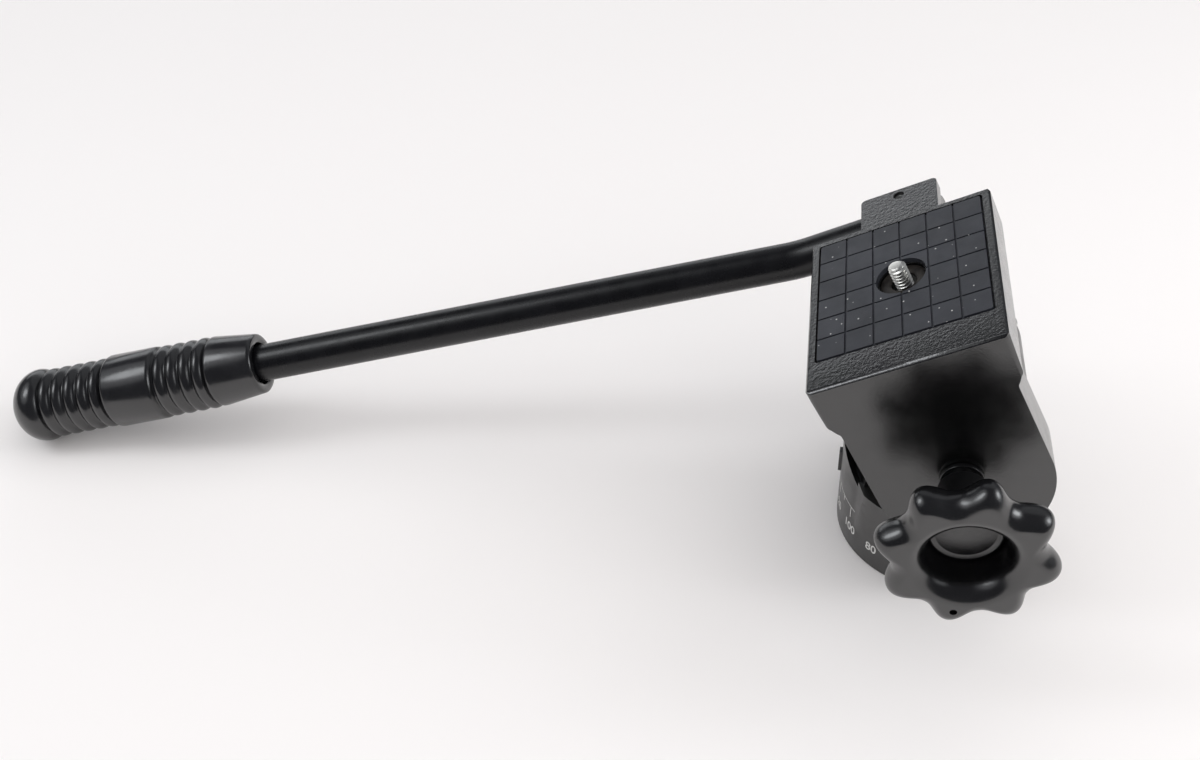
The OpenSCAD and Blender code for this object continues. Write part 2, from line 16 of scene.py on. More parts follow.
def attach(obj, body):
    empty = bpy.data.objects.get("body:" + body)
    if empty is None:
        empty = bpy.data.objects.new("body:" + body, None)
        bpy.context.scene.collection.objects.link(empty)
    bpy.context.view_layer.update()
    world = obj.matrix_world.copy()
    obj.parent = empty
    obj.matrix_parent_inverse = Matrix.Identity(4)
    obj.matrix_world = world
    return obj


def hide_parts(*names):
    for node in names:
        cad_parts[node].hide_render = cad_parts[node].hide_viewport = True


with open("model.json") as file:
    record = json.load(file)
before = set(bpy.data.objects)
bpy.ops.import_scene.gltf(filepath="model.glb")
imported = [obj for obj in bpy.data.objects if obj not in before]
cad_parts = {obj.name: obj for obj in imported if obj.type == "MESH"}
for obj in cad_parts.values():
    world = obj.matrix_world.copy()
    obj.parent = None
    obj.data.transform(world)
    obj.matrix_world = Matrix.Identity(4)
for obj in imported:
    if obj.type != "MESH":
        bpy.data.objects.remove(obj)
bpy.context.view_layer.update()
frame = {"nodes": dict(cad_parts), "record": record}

scene = bpy.context.scene
scene.view_settings.view_transform = "Standard"

# %% [markdown]
# ## Places
# Everything on the tilting head is easier to draw level, so it is drawn in the head's own frame,
# with the tilt axis at the origin, and a matrix tips it back into place. The handle has a second
# frame, at the corner of its bend. Sizes are in millimetres and MM turns them into metres.

# %% Frames of the head and of the handle
MM = 0.001
TILT_Z = 67.0
REST_TILT = radians(26.8)
HEAD = Matrix.Translation((0, 0, TILT_Z * MM)) @ Matrix.Rotation(-REST_TILT, 4, "Y")
BEND_X, BEND_Y, BEND_Z = -44.9, 48.4, 40.2
BEND_TURN = radians(28.7)
HANDLE = (HEAD @ Matrix.Translation(Vector((BEND_X, BEND_Y, BEND_Z)) * MM)
          @ Matrix.Rotation(BEND_TURN, 4, "X"))
STUDIO = Matrix.Identity(4)
# a turned piece is drawn round Z; this lays the knob's axis along -Y
KNOB_AXIS = HEAD @ Matrix.Rotation(radians(90), 4, "X")
print("head frame at", [round(v, 4) for v in HEAD.translation],
      "tipped", round(degrees(REST_TILT), 1), "degrees")

# %% [markdown]
# ## Camera
# The camera stands in front of the knob, a little to the left, and looks down about 36 degrees.
# Its frame is shifted because the object sits in the right half of the picture. The focal length
# and the point that the lens looks at are in pixels of a 1200 by 760 frame. Depth of field stays
# off, so every view of the part is sharp.

# %% Camera
FRAME_W, FRAME_H = 1200, 760
FOCAL_PX = 1378.32
LENS_PX = (719.34, 262.48)
SENSOR_W = 36
CAMERA_AT = (-0.05974, -0.3767, 0.39305)
yaw, pitch, roll = radians(-3.91), radians(-36.415), radians(1.587)
ahead = Vector((sin(yaw) * cos(pitch), cos(yaw) * cos(pitch), sin(pitch)))
level = Vector((cos(yaw), -sin(yaw), 0))
upright = level.cross(ahead)
right = level * cos(roll) + upright * sin(roll)
up = upright * cos(roll) - level * sin(roll)
camera = bpy.data.objects.new("camera", bpy.data.cameras.new("camera"))
camera.matrix_world = (Matrix.Translation(CAMERA_AT)
                       @ Matrix((right, up, -ahead)).transposed().to_4x4())
camera.data.sensor_width = SENSOR_W
camera.data.lens = SENSOR_W * FOCAL_PX / FRAME_W
camera.data.shift_x = (FRAME_W / 2 - LENS_PX[0]) / FRAME_W
camera.data.shift_y = (LENS_PX[1] - FRAME_H / 2) / FRAME_W
camera.data.clip_start = 0.01
scene.collection.objects.link(camera)
scene.camera = camera
print("camera lens", round(camera.data.lens, 2), "mm")

# %% [markdown]
# ## Floor and light
# The head lies on a sheet of white paper that ends a little in front of it. Black paint shows what
# it mirrors: the paper makes faces that look down grey, and the dark room beyond the sheet leaves
# those that look up black. Two soft boxes stand left and right, each with a dim halo round it, so
# round edges carry pairs of soft highlights, a wide one hangs behind, and a low pale card at the
# back brightens the platform. Two large dim lamps, overhead and in front, only fill the shadows:
# they are kept out of the reflections.

# %% Floor
PAPER_FRONT = 0.40
PAPER_HALF = (1.0, 0.7)
PAPER_X = -0.05
PAPER_DROP = 0.0001


def link_object(name, data):
    obj = bpy.data.objects.new(name, data)
    scene.collection.objects.link(obj)
    return obj


def shader(name):
    """A material with only a Principled shader and its output; gives the node tree too."""
    material = bpy.data.materials.new(name)
    material.use_nodes = True
    tree = material.node_tree
    return material, tree, tree.nodes["Principled BSDF"]


paper, tree, skin = shader("white_paper")
skin.inputs["Roughness"].default_value = 0.9
skin.inputs["Specular IOR Level"].default_value = 0.1
grain = tree.nodes.new("ShaderNodeTexNoise")
grain.inputs["Scale"].default_value = 3.0
tint = tree.nodes.new("ShaderNodeValToRGB")
tint.color_ramp.elements[0].color = (0.90, 0.872, 0.858, 1)
tint.color_ramp.elements[1].color = (0.92, 0.892, 0.878, 1)
tree.links.new(grain.outputs["Fac"], tint.inputs["Fac"])
tree.links.new(tint.outputs["Color"], skin.inputs["Base Color"])
bm = bmesh.new()
bmesh.ops.create_grid(bm, x_segments=2, y_segments=2, size=1.0)
bmesh.ops.scale(bm, vec=(*PAPER_HALF, 1), verts=bm.verts)
bmesh.ops.translate(bm, vec=(PAPER_X, PAPER_HALF[1] - PAPER_FRONT, -PAPER_DROP), verts=bm.verts)
floor_mesh = bpy.data.meshes.new("floor")
bm.to_mesh(floor_mesh)
bm.free()
floor_mesh.materials.append(paper)
floor = link_object("floor", floor_mesh)
print("floor:", [round(v, 2) for v in floor.dimensions])

# %% Lamps and world
COOL, WARM = (0.95, 0.975, 1.0), (1.0, 0.985, 0.975)
ON_HEAD, ON_DRUM = (-0.05, 0, 0.05), (0, 0, 0.05)


def soft_box(name, place, aim, size, radiance, lights_paper=True):
    """A round lamp that looks at a point. Its brightness is set by radiance, not by size, and it can
    be left to show in the paint alone."""
    lamp = bpy.data.lights.new(name, "AREA")
    lamp.shape = "ELLIPSE"
    lamp.size, lamp.size_y = size
    lamp.energy = radiance * pi * size[0] * size[1] * pi / 4
    lamp.color = COOL
    obj = link_object(name, lamp)
    place = Vector(place)
    turn = (Vector(aim) - place).to_track_quat("-Z", "Y")
    obj.matrix_world = Matrix.Translation(place) @ turn.to_matrix().to_4x4()
    obj.visible_camera = False
    obj.visible_diffuse = lights_paper
    return obj


# half of each bright lamp shows in the paint alone, so the shadows on the paper stay soft
for half, lights_paper in (("key", True), ("shine", False)):
    soft_box("left_" + half, (-0.83, -0.145, 0.78), ON_HEAD, (0.34, 0.64), 3.5, lights_paper)
    soft_box("right_" + half, (0.95, 0.02, 0.62), ON_DRUM, (0.40, 0.50), 4.7, lights_paper)
soft_box("halo_left", (-0.97, -0.17, 0.91), ON_HEAD, (1.30, 1.30), 0.5)
soft_box("halo_right", (1.12, 0.02, 0.73), ON_DRUM, (1.10, 1.10), 0.8)
soft_box("lamp_top", (0.10, 0.95, 1.10), ON_HEAD, (2.20, 1.20), 0.22)
soft_box("back_card", (-0.52, 1.02, 0.34), (-0.03, 0, 0.10), (1.60, 0.48), 1.25)
fills = (soft_box("lamp_fill", (0.50, -0.20, 1.50), (0.20, 0, 0), (3.60, 3.20), 1.00),
         soft_box("front_fill", (0.60, -1.25, 0.75), (0.20, -0.05, 0), (2.40, 1.30), 1.10))
for fill in fills:
    fill.data.color = WARM
    fill.visible_glossy = False
world = bpy.data.worlds.new("dim_room")
scene.world = world
world.use_nodes = True
tree = world.node_tree
room = tree.nodes["Background"]
room.inputs["Color"].default_value = (0.10, 0.103, 0.115, 1)
backdrop = tree.nodes.new("ShaderNodeBackground")
backdrop.inputs["Color"].default_value = (0.92, 0.91, 0.905, 1)
path = tree.nodes.new("ShaderNodeLightPath")
seen = tree.nodes.new("ShaderNodeMixShader")
tree.links.new(path.outputs["Is Camera Ray"], seen.inputs["Fac"])
tree.links.new(room.outputs["Background"], seen.inputs[1])
tree.links.new(backdrop.outputs["Background"], seen.inputs[2])
tree.links.new(seen.outputs["Shader"], tree.nodes["World Output"].inputs["Surface"])

# %% [markdown]
# ## Finishes
# Every finish is a Principled shader with patterns on Object coordinates, which are metres of the
# real object, so a noise scale of 1000 means grains of about a millimetre. One noise mottles the
# colour, a second one makes the gloss uneven, and the others are stacked as bumps.

# %% Helpers for finishes
def noise(tree, scale, detail=3.0):
    """A noise on Object coordinates; gives its output."""
    place = tree.nodes.new("ShaderNodeTexCoord")
    grain = tree.nodes.new("ShaderNodeTexNoise")
    grain.inputs["Scale"].default_value = scale
    grain.inputs["Detail"].default_value = detail
    tree.links.new(place.outputs["Object"], grain.inputs["Vector"])
    return grain.outputs["Fac"]


def spread(tree, fac, low, high, low_at=0.35, high_at=0.65):
    """Maps a noise to values or colours between low and high."""
    if isinstance(low, tuple):
        ramp = tree.nodes.new("ShaderNodeValToRGB")
        ramp.color_ramp.elements[0].position = low_at
        ramp.color_ramp.elements[1].position = high_at
        ramp.color_ramp.elements[0].color = (*low, 1)
        ramp.color_ramp.elements[1].color = (*high, 1)
        tree.links.new(fac, ramp.inputs["Fac"])
        return ramp.outputs["Color"]
    span = tree.nodes.new("ShaderNodeMapRange")
    span.inputs["From Min"].default_value = low_at
    span.inputs["From Max"].default_value = high_at
    span.inputs["To Min"].default_value = low
    span.inputs["To Max"].default_value = high
    tree.links.new(fac, span.inputs["Value"])
    return span.outputs["Result"]


def bump(tree, skin, heights):
    """Stacks bumps on a shader: heights are pairs of a noise and its depth in metres."""
    normal = None
    for fac, depth in heights:
        node = tree.nodes.new("ShaderNodeBump")
        node.inputs["Strength"].default_value = 1.0
        node.inputs["Distance"].default_value = depth
        tree.links.new(fac, node.inputs["Height"])
        if normal:
            tree.links.new(normal, node.inputs["Normal"])
        normal = node.outputs["Normal"]
    tree.links.new(normal, skin.inputs["Normal"])


def finish(name, dark, light, rough, heights, metal=0.0, ior=1.5, mottle=60, rough_scale=150):
    """A finish with a mottled colour, uneven gloss and bumps given as (scale, detail, depth)."""
    material, tree, skin = shader(name)
    skin.inputs["Metallic"].default_value = metal
    skin.inputs["IOR"].default_value = ior
    tree.links.new(spread(tree, noise(tree, mottle), dark, light), skin.inputs["Base Color"])
    tree.links.new(spread(tree, noise(tree, rough_scale), *rough), skin.inputs["Roughness"])
    bump(tree, skin, [(noise(tree, scale, detail), depth) for scale, detail, depth in heights])
    return material


print("finish helpers ready")

# %% [markdown]
# The castings are black. The knob's side has a satin paint whose darker colour is painted shade,
# the walls and rounded edges a glossier one, and the platform's top a wrinkle paint: an orange peel
# about a millimetre wide with a finer leathery grain on it. The knob and the grip are moulded
# plastic, the tube is painted, and the pad is dull blue-grey rubber with specks of dust.

# %% Paints and plastics
# the satin paint is darker than the other black paints: painted shade on the knob's side of the casting
shaded_satin_paint = finish("shaded_satin_paint", (0.0015, 0.0015, 0.0016), (0.0028, 0.0028, 0.0028),
                     (0.21, 0.27), [(1500, 2, 0.00002)], ior=1.85)
wrinkle_paint = finish("wrinkle_paint", (0.003, 0.003, 0.0032), (0.006, 0.006, 0.006),
                       (0.13, 0.20), [(850, 3, 0.00024), (2400, 2, 0.00007)], ior=1.85)
drum_paint = finish("drum_paint", (0.006, 0.006, 0.006), (0.010, 0.0095, 0.009),
                    (0.28, 0.38), [(1800, 2, 0.00003)], ior=1.85)
knob_plastic = finish("knob_plastic", (0.003, 0.003, 0.0033), (0.005, 0.005, 0.0055),
                      (0.20, 0.27), [(900, 2, 0.00001)], ior=1.8)
tube_paint = finish("tube_paint", (0.002, 0.002, 0.0026), (0.004, 0.004, 0.005),
                    (0.24, 0.32), [(600, 2, 0.00001)], ior=1.45)
grip_plastic = finish("grip_plastic", (0.004, 0.004, 0.0048), (0.007, 0.007, 0.008),
                      (0.18, 0.26), [(1200, 2, 0.00001)], ior=1.75)
# darker and duller than the knob's plastic: painted shade where the near face mirrors the hub
shaded_hub_plastic = finish("shaded_hub_plastic", (0.002, 0.002, 0.0022), (0.003, 0.003, 0.0033),
                     (0.50, 0.60), [(900, 2, 0.00001)], ior=1.35)
wall_paint = finish("wall_paint", (0.003, 0.003, 0.0032), (0.006, 0.006, 0.006),
                    (0.11, 0.17), [(1100, 2, 0.00006)], ior=1.85)
paints = (shaded_satin_paint, wall_paint, wrinkle_paint, drum_paint, knob_plastic, shaded_hub_plastic, tube_paint,
          grip_plastic)
print("paints:", [m.name for m in paints])

# %% Rubber with dust
SPECKS_PER_M = 560
CLEAN_SHARE = 0.90
pad_rubber = finish("pad_rubber", (0.020, 0.0215, 0.027), (0.027, 0.029, 0.037), (0.42, 0.54),
                    [(1500, 3, 0.00003)])
tree = pad_rubber.node_tree
skin = tree.nodes["Principled BSDF"]
place = tree.nodes.new("ShaderNodeTexCoord")
specks = tree.nodes.new("ShaderNodeTexVoronoi")
specks.inputs["Scale"].default_value = SPECKS_PER_M
tree.links.new(place.outputs["Object"], specks.inputs["Vector"])
dust = spread(tree, specks.outputs["Distance"], 1.0, 0.0, 0.10, 0.20)
pick = tree.nodes.new("ShaderNodeSeparateColor")
tree.links.new(specks.outputs["Color"], pick.inputs["Color"])
chosen = tree.nodes.new("ShaderNodeMath")
chosen.operation = "GREATER_THAN"
chosen.inputs[1].default_value = CLEAN_SHARE
tree.links.new(pick.outputs["Red"], chosen.inputs[0])
amount = tree.nodes.new("ShaderNodeMath")
amount.operation = "MULTIPLY"
tree.links.new(dust, amount.inputs[0])
tree.links.new(chosen.outputs[0], amount.inputs[1])
mix = tree.nodes.new("ShaderNodeMix")
mix.data_type = "RGBA"
mix.inputs["B"].default_value = (0.62, 0.62, 0.61, 1)
tree.links.new(amount.outputs[0], mix.inputs["Factor"])
tree.links.new(skin.inputs["Base Color"].links[0].from_socket, mix.inputs["A"])
tree.links.new(mix.outputs["Result"], skin.inputs["Base Color"])
print("rubber nodes:", len(tree.nodes))

# %% Metals and print
zinc = finish("zinc", (0.74, 0.73, 0.69), (0.88, 0.87, 0.83), (0.30, 0.42),
              [(1500, 2, 0.00001)], metal=1.0)
steel = finish("steel", (0.45, 0.45, 0.44), (0.56, 0.56, 0.55), (0.28, 0.40),
               [(900, 2, 0.00001)], metal=1.0)
bronze = finish("bronze", (0.42, 0.31, 0.17), (0.52, 0.39, 0.22), (0.30, 0.42),
                [(900, 2, 0.00001)], metal=1.0)
bare_seat = finish("bare_seat", (0.012, 0.0095, 0.008), (0.036, 0.030, 0.025), (0.42, 0.58),
                   [(700, 3, 0.00004)], metal=0.5, mottle=300)
ptfe = finish("ptfe", (0.72, 0.71, 0.68), (0.80, 0.79, 0.76), (0.40, 0.50), [(900, 2, 0.00001)])
scale_print = finish("scale_print", (0.62, 0.61, 0.59), (0.78, 0.77, 0.75), (0.45, 0.60),
                     [(3000, 2, 0.00001)], mottle=900)
print("metals:", [m.name for m in (zinc, steel, bronze, bare_seat)])

# %% [markdown]
# ## Making a piece
# Each piece is drawn in a bmesh, moved into place, and then rides a body, takes its material and
# hides the solids that it stands for. Its faces are smooth except across edges sharper than a given
# angle. Doubles are merged and normals turned outwards before that. Where a piece has large flat
# faces with rounded edges, weighted normals keep the flat faces flat.

# %% Helper that finishes a piece
DOUBLES = 1e-7


def piece(name, bm, material, body, nodes=(), place=STUDIO, sharp=40, flat_faces=False):
    """Makes a bmesh an object that rides a body, has the given material and stands for the named solids."""
    bmesh.ops.remove_doubles(bm, verts=bm.verts, dist=DOUBLES)
    bmesh.ops.transform(bm, matrix=place, verts=bm.verts)
    bmesh.ops.recalc_face_normals(bm, faces=bm.faces)
    mesh = bpy.data.meshes.new(name)
    bm.to_mesh(mesh)
    bm.free()
    mesh.materials.append(material)
    mesh.shade_smooth()
    mesh.set_sharp_from_angle(angle=radians(sharp))
    obj = link_object(name, mesh)
    if flat_faces:
        obj.modifiers.new("flat_faces", "WEIGHTED_NORMAL").keep_sharp = True
    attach(obj, body)
    if nodes:
        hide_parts(*nodes)
    print(f"{name}: {len(mesh.polygons)} faces on {body}")
    return obj


def chain(bm, points):
    """Adds points (radius, height) in millimetres to a bmesh as a chain of edges in the XZ plane."""
    verts = [bm.verts.new((r * MM, 0, z * MM)) for r, z in points]
    edges = [bm.edges.new(pair) for pair in zip(verts, verts[1:])]
    return verts + edges


def turned(points, steps=96):
    """A bmesh turned round Z from an outline of (radius, height) points."""
    bm = bmesh.new()
    bmesh.ops.spin(bm, geom=chain(bm, points), cent=(0, 0, 0), axis=(0, 0, 1),
                   angle=2 * pi, steps=steps, use_merge=True)
    bmesh.ops.remove_doubles(bm, verts=bm.verts, dist=DOUBLES)
    return bm


def arc(centre, radius, start, end, steps, squash=1.0):
    """Points on an arc, angles in degrees; squash scales its height."""
    turns = [radians(start + (end - start) * i / steps) for i in range(steps + 1)]
    return [(centre[0] + radius * cos(t), centre[1] + radius * squash * sin(t)) for t in turns]


def pull(bm, verts, move):
    """Extrudes a ring of vertices and moves the new ring; gives its vertices."""
    edges = {e for v in verts for e in v.link_edges if all(w in verts for w in e.verts)}
    new = bmesh.ops.extrude_edge_only(bm, edges=list(edges))["geom"]
    new = [v for v in new if isinstance(v, bmesh.types.BMVert)]
    bmesh.ops.translate(bm, vec=move, verts=new)
    return new


print("piece helpers ready")

# %% [markdown]
# ## Castings
# A die-cast part has no sharp edge. The solids already have the right shape, so a copy of each
# is merged, its flat triangles are joined to whole faces, and every sharp edge gets a narrow
# rounding, which is what catches the lamps. Cutting the castings anew would only repeat the solid.

# %% Rounded copies of solids
WELD = 2e-6
FLAT = radians(0.6)
SHARP = radians(28)


def merged(node):
    """A copy of a solid's mesh with whole faces instead of triangles."""
    bm = bmesh.new()
    bm.from_mesh(frame["nodes"][node].data)
    bmesh.ops.remove_doubles(bm, verts=bm.verts, dist=WELD)
    bmesh.ops.dissolve_degenerate(bm, edges=bm.edges, dist=WELD)
    bmesh.ops.dissolve_limit(bm, angle_limit=FLAT, verts=bm.verts, edges=bm.edges)
    return bm


def soften(bm, width, segments=2, chosen=lambda edge: True):
    """Rounds the sharp edges, or only the chosen ones of them."""
    edges = [e for e in bm.edges if e.is_manifold and e.calc_face_angle(0) > SHARP and chosen(e)]
    bmesh.ops.bevel(bm, geom=edges, offset=width * MM, offset_type="OFFSET", segments=segments,
                    profile=0.5, affect="EDGES", clamp_overlap=True, material=-1)
    return bm


def rounded(node, width, segments=2):
    return soften(merged(node), width, segments)


print("sharp edges are those over", round(degrees(SHARP)), "degrees")

# %% [markdown]
# On the head casting the near face's outline below the platform has a wider rounding than the
# other edges. The bore round the tilt axis stays crisp, and so does the chamfer along the
# platform's near edge, whose smooth shading already carries one long highlight.

# %% Castings
NEAR_FACE = 46.3
FACE_SLACK = 0.1
BLOCK_Z = 36.2
PLATFORM_TOP = 52.8
CHAMFER = 1.3
BORE_ROOM = 15
LONG_EDGE = 10
FACING = 0.97
LEVEL = HEAD.inverted()


def outside_bore(edge):
    return all((LEVEL @ v.co).xz.length > BORE_ROOM * MM for v in edge.verts)


def near_side(edge):
    """True for the edges of the cheek's near face, below the platform and away from its bore."""
    return outside_bore(edge) and all(v.co.y < (FACE_SLACK - NEAR_FACE) * MM
                                      and (LEVEL @ v.co).z < BLOCK_Z * MM for v in edge.verts)


def top_chamfer(edge):
    """True for the long edges of the chamfer between the near face and the platform's top."""
    return edge.calc_length() > LONG_EDGE * MM and all(
        v.co.y < (CHAMFER - NEAR_FACE) * MM and (LEVEL @ v.co).z > (PLATFORM_TOP - CHAMFER) * MM
        for v in edge.verts)


bm = soften(merged("head_casting"), 1.5, 4, near_side)
bm = soften(bm, 0.6, 3, lambda edge: outside_bore(edge) and not top_chamfer(edge))
casting = piece("head_casting_painted", bm, shaded_satin_paint, "tilt", ["head_casting"],
                sharp=50, flat_faces=True)
casting.data.materials.append(wrinkle_paint)
casting.data.materials.append(wall_paint)
top = HEAD.to_3x3() @ Vector((0, 0, 1))
# the knob's side of the casting takes the darker satin paint, which is painted shade
for polygon in casting.data.polygons:
    flat_top, flat_side = polygon.normal.dot(top) > FACING, polygon.normal.y < -FACING
    polygon.material_index = 1 if flat_top else 0 if flat_side else 2
piece("pan_housing_painted", rounded("pan_housing", 0.45, 3), drum_paint, "pan",
      ["pan_housing"], sharp=50, flat_faces=True)

# %% [markdown]
# ## Rubber pad
# The pad is one sheet of rubber, cut by shallow grooves into six by six cells. The copy of the
# solid keeps the grooves and the round hole, and a fine rounding softens each cell.

# %% Pad
piece("pad_cells", rounded("rubber_pad", 0.18, 2), pad_rubber, "tilt",
      ["rubber_pad"], sharp=50, flat_faces=True)

# %% [markdown]
# ## Camera screw
# The screw has a standard quarter-inch thread with 20 turns to the inch. A V outline, spun round
# the axis while it climbs, gives the thread: after one turn its top edge lies on the next turn's
# bottom edge, so merging doubles closes the spiral. Two cuts level its ends, and the upper end is
# inset and lifted for the rounded tip.

# %% Threaded screw
PAD_TOP = 53.0
SCREW_TIP = PAD_TOP + 4.6
PITCH = 1.27
THREAD_R = 3.175
CREST_R = THREAD_R - 0.02
ROOT_R = 2.50
TURNS = 12
STEPS_PER_TURN = 32
bm = bmesh.new()
thread_base = SCREW_TIP - 1.2 - (TURNS - 1.5) * PITCH
v_cut = [(ROOT_R, 0), (ROOT_R, 0.16), (CREST_R, 0.56), (CREST_R, 0.72), (ROOT_R, 1.12), (ROOT_R, PITCH)]
bmesh.ops.spin(bm, geom=chain(bm, [(r, z + thread_base) for r, z in v_cut]), cent=(0, 0, 0),
               axis=(0, 0, 1), dvec=(0, 0, PITCH * MM / STEPS_PER_TURN), angle=2 * pi * TURNS,
               steps=STEPS_PER_TURN * TURNS, use_merge=False)
bmesh.ops.remove_doubles(bm, verts=bm.verts, dist=WELD)


def level_end(bm, height, upper):
    """Cuts a spiral at a height, keeps one side and fills the cut."""
    bmesh.ops.bisect_plane(bm, geom=bm.verts[:] + bm.edges[:] + bm.faces[:], dist=DOUBLES,
                           plane_co=(0, 0, height * MM), plane_no=(0, 0, 1),
                           clear_outer=upper, clear_inner=not upper)
    rim = [e for e in bm.edges if e.is_boundary
           and all(abs(v.co.z - height * MM) < 1e-6 for v in e.verts)]
    return bmesh.ops.contextual_create(bm, geom=rim)["faces"]


level_end(bm, thread_base + 1.5 * PITCH, False)
tip = level_end(bm, SCREW_TIP - 0.7, True)
for inset, lift in ((0.25, 0.35), (0.35, 0.25), (0.4, 0.1)):
    bmesh.ops.inset_region(bm, faces=tip, thickness=inset * MM, depth=0)
    bmesh.ops.translate(bm, vec=(0, 0, lift * MM), verts=list({v for f in tip for v in f.verts}))
piece("camera_screw_thread", bm, zinc, "camera_bolt", place=HEAD, sharp=35)
shank = [(0, 34.2), (2.6, 34.2), (2.6, 37.0), (3.1, 37.0), (3.1, 43.1), (5.6, 43.1), (5.6, 46.2),
         (2.4, 46.2), (2.4, 49.5), (0, 49.5)]
piece("camera_screw_shank", turned(shank, 64), zinc, "camera_bolt",
      ["camera_screw"], HEAD)

# %% [markdown]
# Round the screw the pad is open, and the bare metal seat shows as a dull, slightly dished ring.

# %% Seat ring round the screw
seat = [(4.5, 49.7), (8.2, 49.7), (8.2, 50.5), (7.8, 50.7), (5.4, 50.45), (4.7, 50.3), (4.5, 50.1),
        (4.5, 49.7)]
piece("seat_ring", turned(seat), bare_seat, "tilt", ["screw_washer"], HEAD)

# %% [markdown]
# ## Star knob
# The knob is moulded with eight soft lobes round a dished face. Its outline is turned first, with
# many steps, and then the outer part of each ring is drawn in between the lobes, which keeps the
# rounding of the rim even all the way round.

# %% Knob
LOBES = 8
LOBE_TURN = radians(11)
LOBE_DEPTH = 5.2
LOBE_POWER = 1.25
KNOB_R = 29.8
KNOB_T = 12.5
HUB_L = 20.5
HUB_R = 8.5
HUB_GAP = 4.8
STUD_R = 4.0
LOBE_Y = NEAR_FACE + HUB_GAP + HUB_L
RECESS_R = 12.9
BOWL_R = RECESS_R + 2.2
FLOOR_Z = KNOB_T - 17.5
hub = [(STUD_R, FLOOR_Z - 1.5), (STUD_R, -HUB_L), (HUB_R - 0.8, -HUB_L), (HUB_R - 0.25, 0.25 - HUB_L),
       (HUB_R, 0.8 - HUB_L), (HUB_R, FLOOR_Z - 6), (BOWL_R - 1.6, FLOOR_Z - 1.9),
       (BOWL_R - 0.4, FLOOR_Z - 1.2), (BOWL_R, FLOOR_Z - 0.4), (BOWL_R + 0.3, -1), (BOWL_R + 1.6, 0)]
BACK_ROUND, FRONT_ROUND = 7, 5.6
FACE_R = KNOB_R - FRONT_ROUND
LIP_W, LIP_DEEP = 6.4, 8.5
LIP_R = RECESS_R + LIP_W
rim = (arc((KNOB_R - BACK_ROUND, KNOB_T / 2), BACK_ROUND, -90, 0, 18, KNOB_T / 2 / BACK_ROUND)
       + arc((FACE_R, KNOB_T / 2), FRONT_ROUND, 5, 90, 20, KNOB_T / 2 / FRONT_ROUND))
face = [(FACE_R + (LIP_R - FACE_R) * i / 12, KNOB_T) for i in range(1, 12)]
lip = arc((LIP_R, KNOB_T - LIP_DEEP), LIP_W, 94, 180, 20, LIP_DEEP / LIP_W)
well = [(RECESS_R, FLOOR_Z + 0.5), (RECESS_R - 0.4, FLOOR_Z), (0, FLOOR_Z)]
bm = turned([(0, FLOOR_Z - 1.5)] + hub + rim + face + lip + well, LOBES * 32)
for vert in bm.verts:
    r = hypot(vert.co.x, vert.co.y) / MM
    if r > LIP_R:
        wave = 0.5 + 0.5 * cos(LOBES * (atan2(vert.co.y, vert.co.x) - LOBE_TURN))
        share = min(1, (r - LIP_R) / (FACE_R - LIP_R))
        vert.co.xy *= (r - LOBE_DEPTH * share * (1 - wave ** LOBE_POWER)) / r
print("knob outline turned:", len(bm.faces), "faces")

# %% [markdown]
# One lobe has a small blind hole. The faces over it are deleted, the ragged edge that they leave
# is rounded to a circle, and the circle is pulled down and closed. The hub and the back of the
# lobes get a darker, duller copy of the plastic, painted shade where the near face mirrors them.

# %% Blind hole in one lobe
HOLE_R = 1.25 * MM
HOLE_OUT = 22.2 * MM
HOLE_DEEP = 5 * MM
HOLE_TURN = radians(-122.2)
hole_at = Vector((cos(HOLE_TURN), sin(HOLE_TURN))) * HOLE_OUT
over = [f for f in bm.faces if f.calc_center_median().z > KNOB_T / 2 * MM
        and (f.calc_center_median().xy - hole_at).length < HOLE_R]
bmesh.ops.delete(bm, geom=over, context="FACES")
mouth = list({v for e in bm.edges if e.is_boundary for v in e.verts})
for vert in mouth:
    vert.co.xy = hole_at + (vert.co.xy - hole_at).normalized() * HOLE_R
bottom = pull(bm, mouth, (0, 0, -HOLE_DEEP))
bmesh.ops.contextual_create(bm, geom=[e for e in bm.edges if e.is_boundary])
print("hole mouth of", len(mouth), "points, bottom of", len(bottom))
knob = piece("star_knob_moulded", bm, knob_plastic, "tilt_lock", ["star_knob"],
             KNOB_AXIS @ Matrix.Translation((0, 0, LOBE_Y * MM)), sharp=55)
knob.data.materials.append(shaded_hub_plastic)
# the hub and the backs of the lobes take the darker plastic, as painted shade
for polygon in knob.data.polygons:
    polygon.material_index = int(polygon.center.y > (0.5 - LOBE_Y) * MM)

# %% [markdown]
# Deep in the knob sits a cap, a disc whose sloping rim stands a little above its floor.

# %% Cap in the knob's recess
CAP_R = RECESS_R - 1
CAP_H = 4.5
cap = [(0, 0), (CAP_R + 0.5, 0), (CAP_R + 0.5, 1.1), (CAP_R + 0.35, 1.4), (CAP_R + 0.05, 1.6), (CAP_R, 2.0),
       (CAP_R, CAP_H - 0.4), (CAP_R - 0.1, CAP_H - 0.12), (CAP_R - 0.3, CAP_H), (CAP_R - 0.6, CAP_H - 0.05),
       (CAP_R - 1.8, CAP_H - 0.5), (CAP_R - 2.1, CAP_H - 0.56), (0, CAP_H - 0.6)]
piece("knob_cap_moulded", turned(cap), knob_plastic, "tilt_lock", ["knob_cap"],
      KNOB_AXIS @ Matrix.Translation((0, 0, (LOBE_Y + FLOOR_Z) * MM)), sharp=55)

# %% [markdown]
# ## Handle tube
# A ring of vertices is extruded along the straight part, spun round the bend, and extruded again
# to the bottom of the grip's bore. Then the surface gets the thickness of the tube's wall.

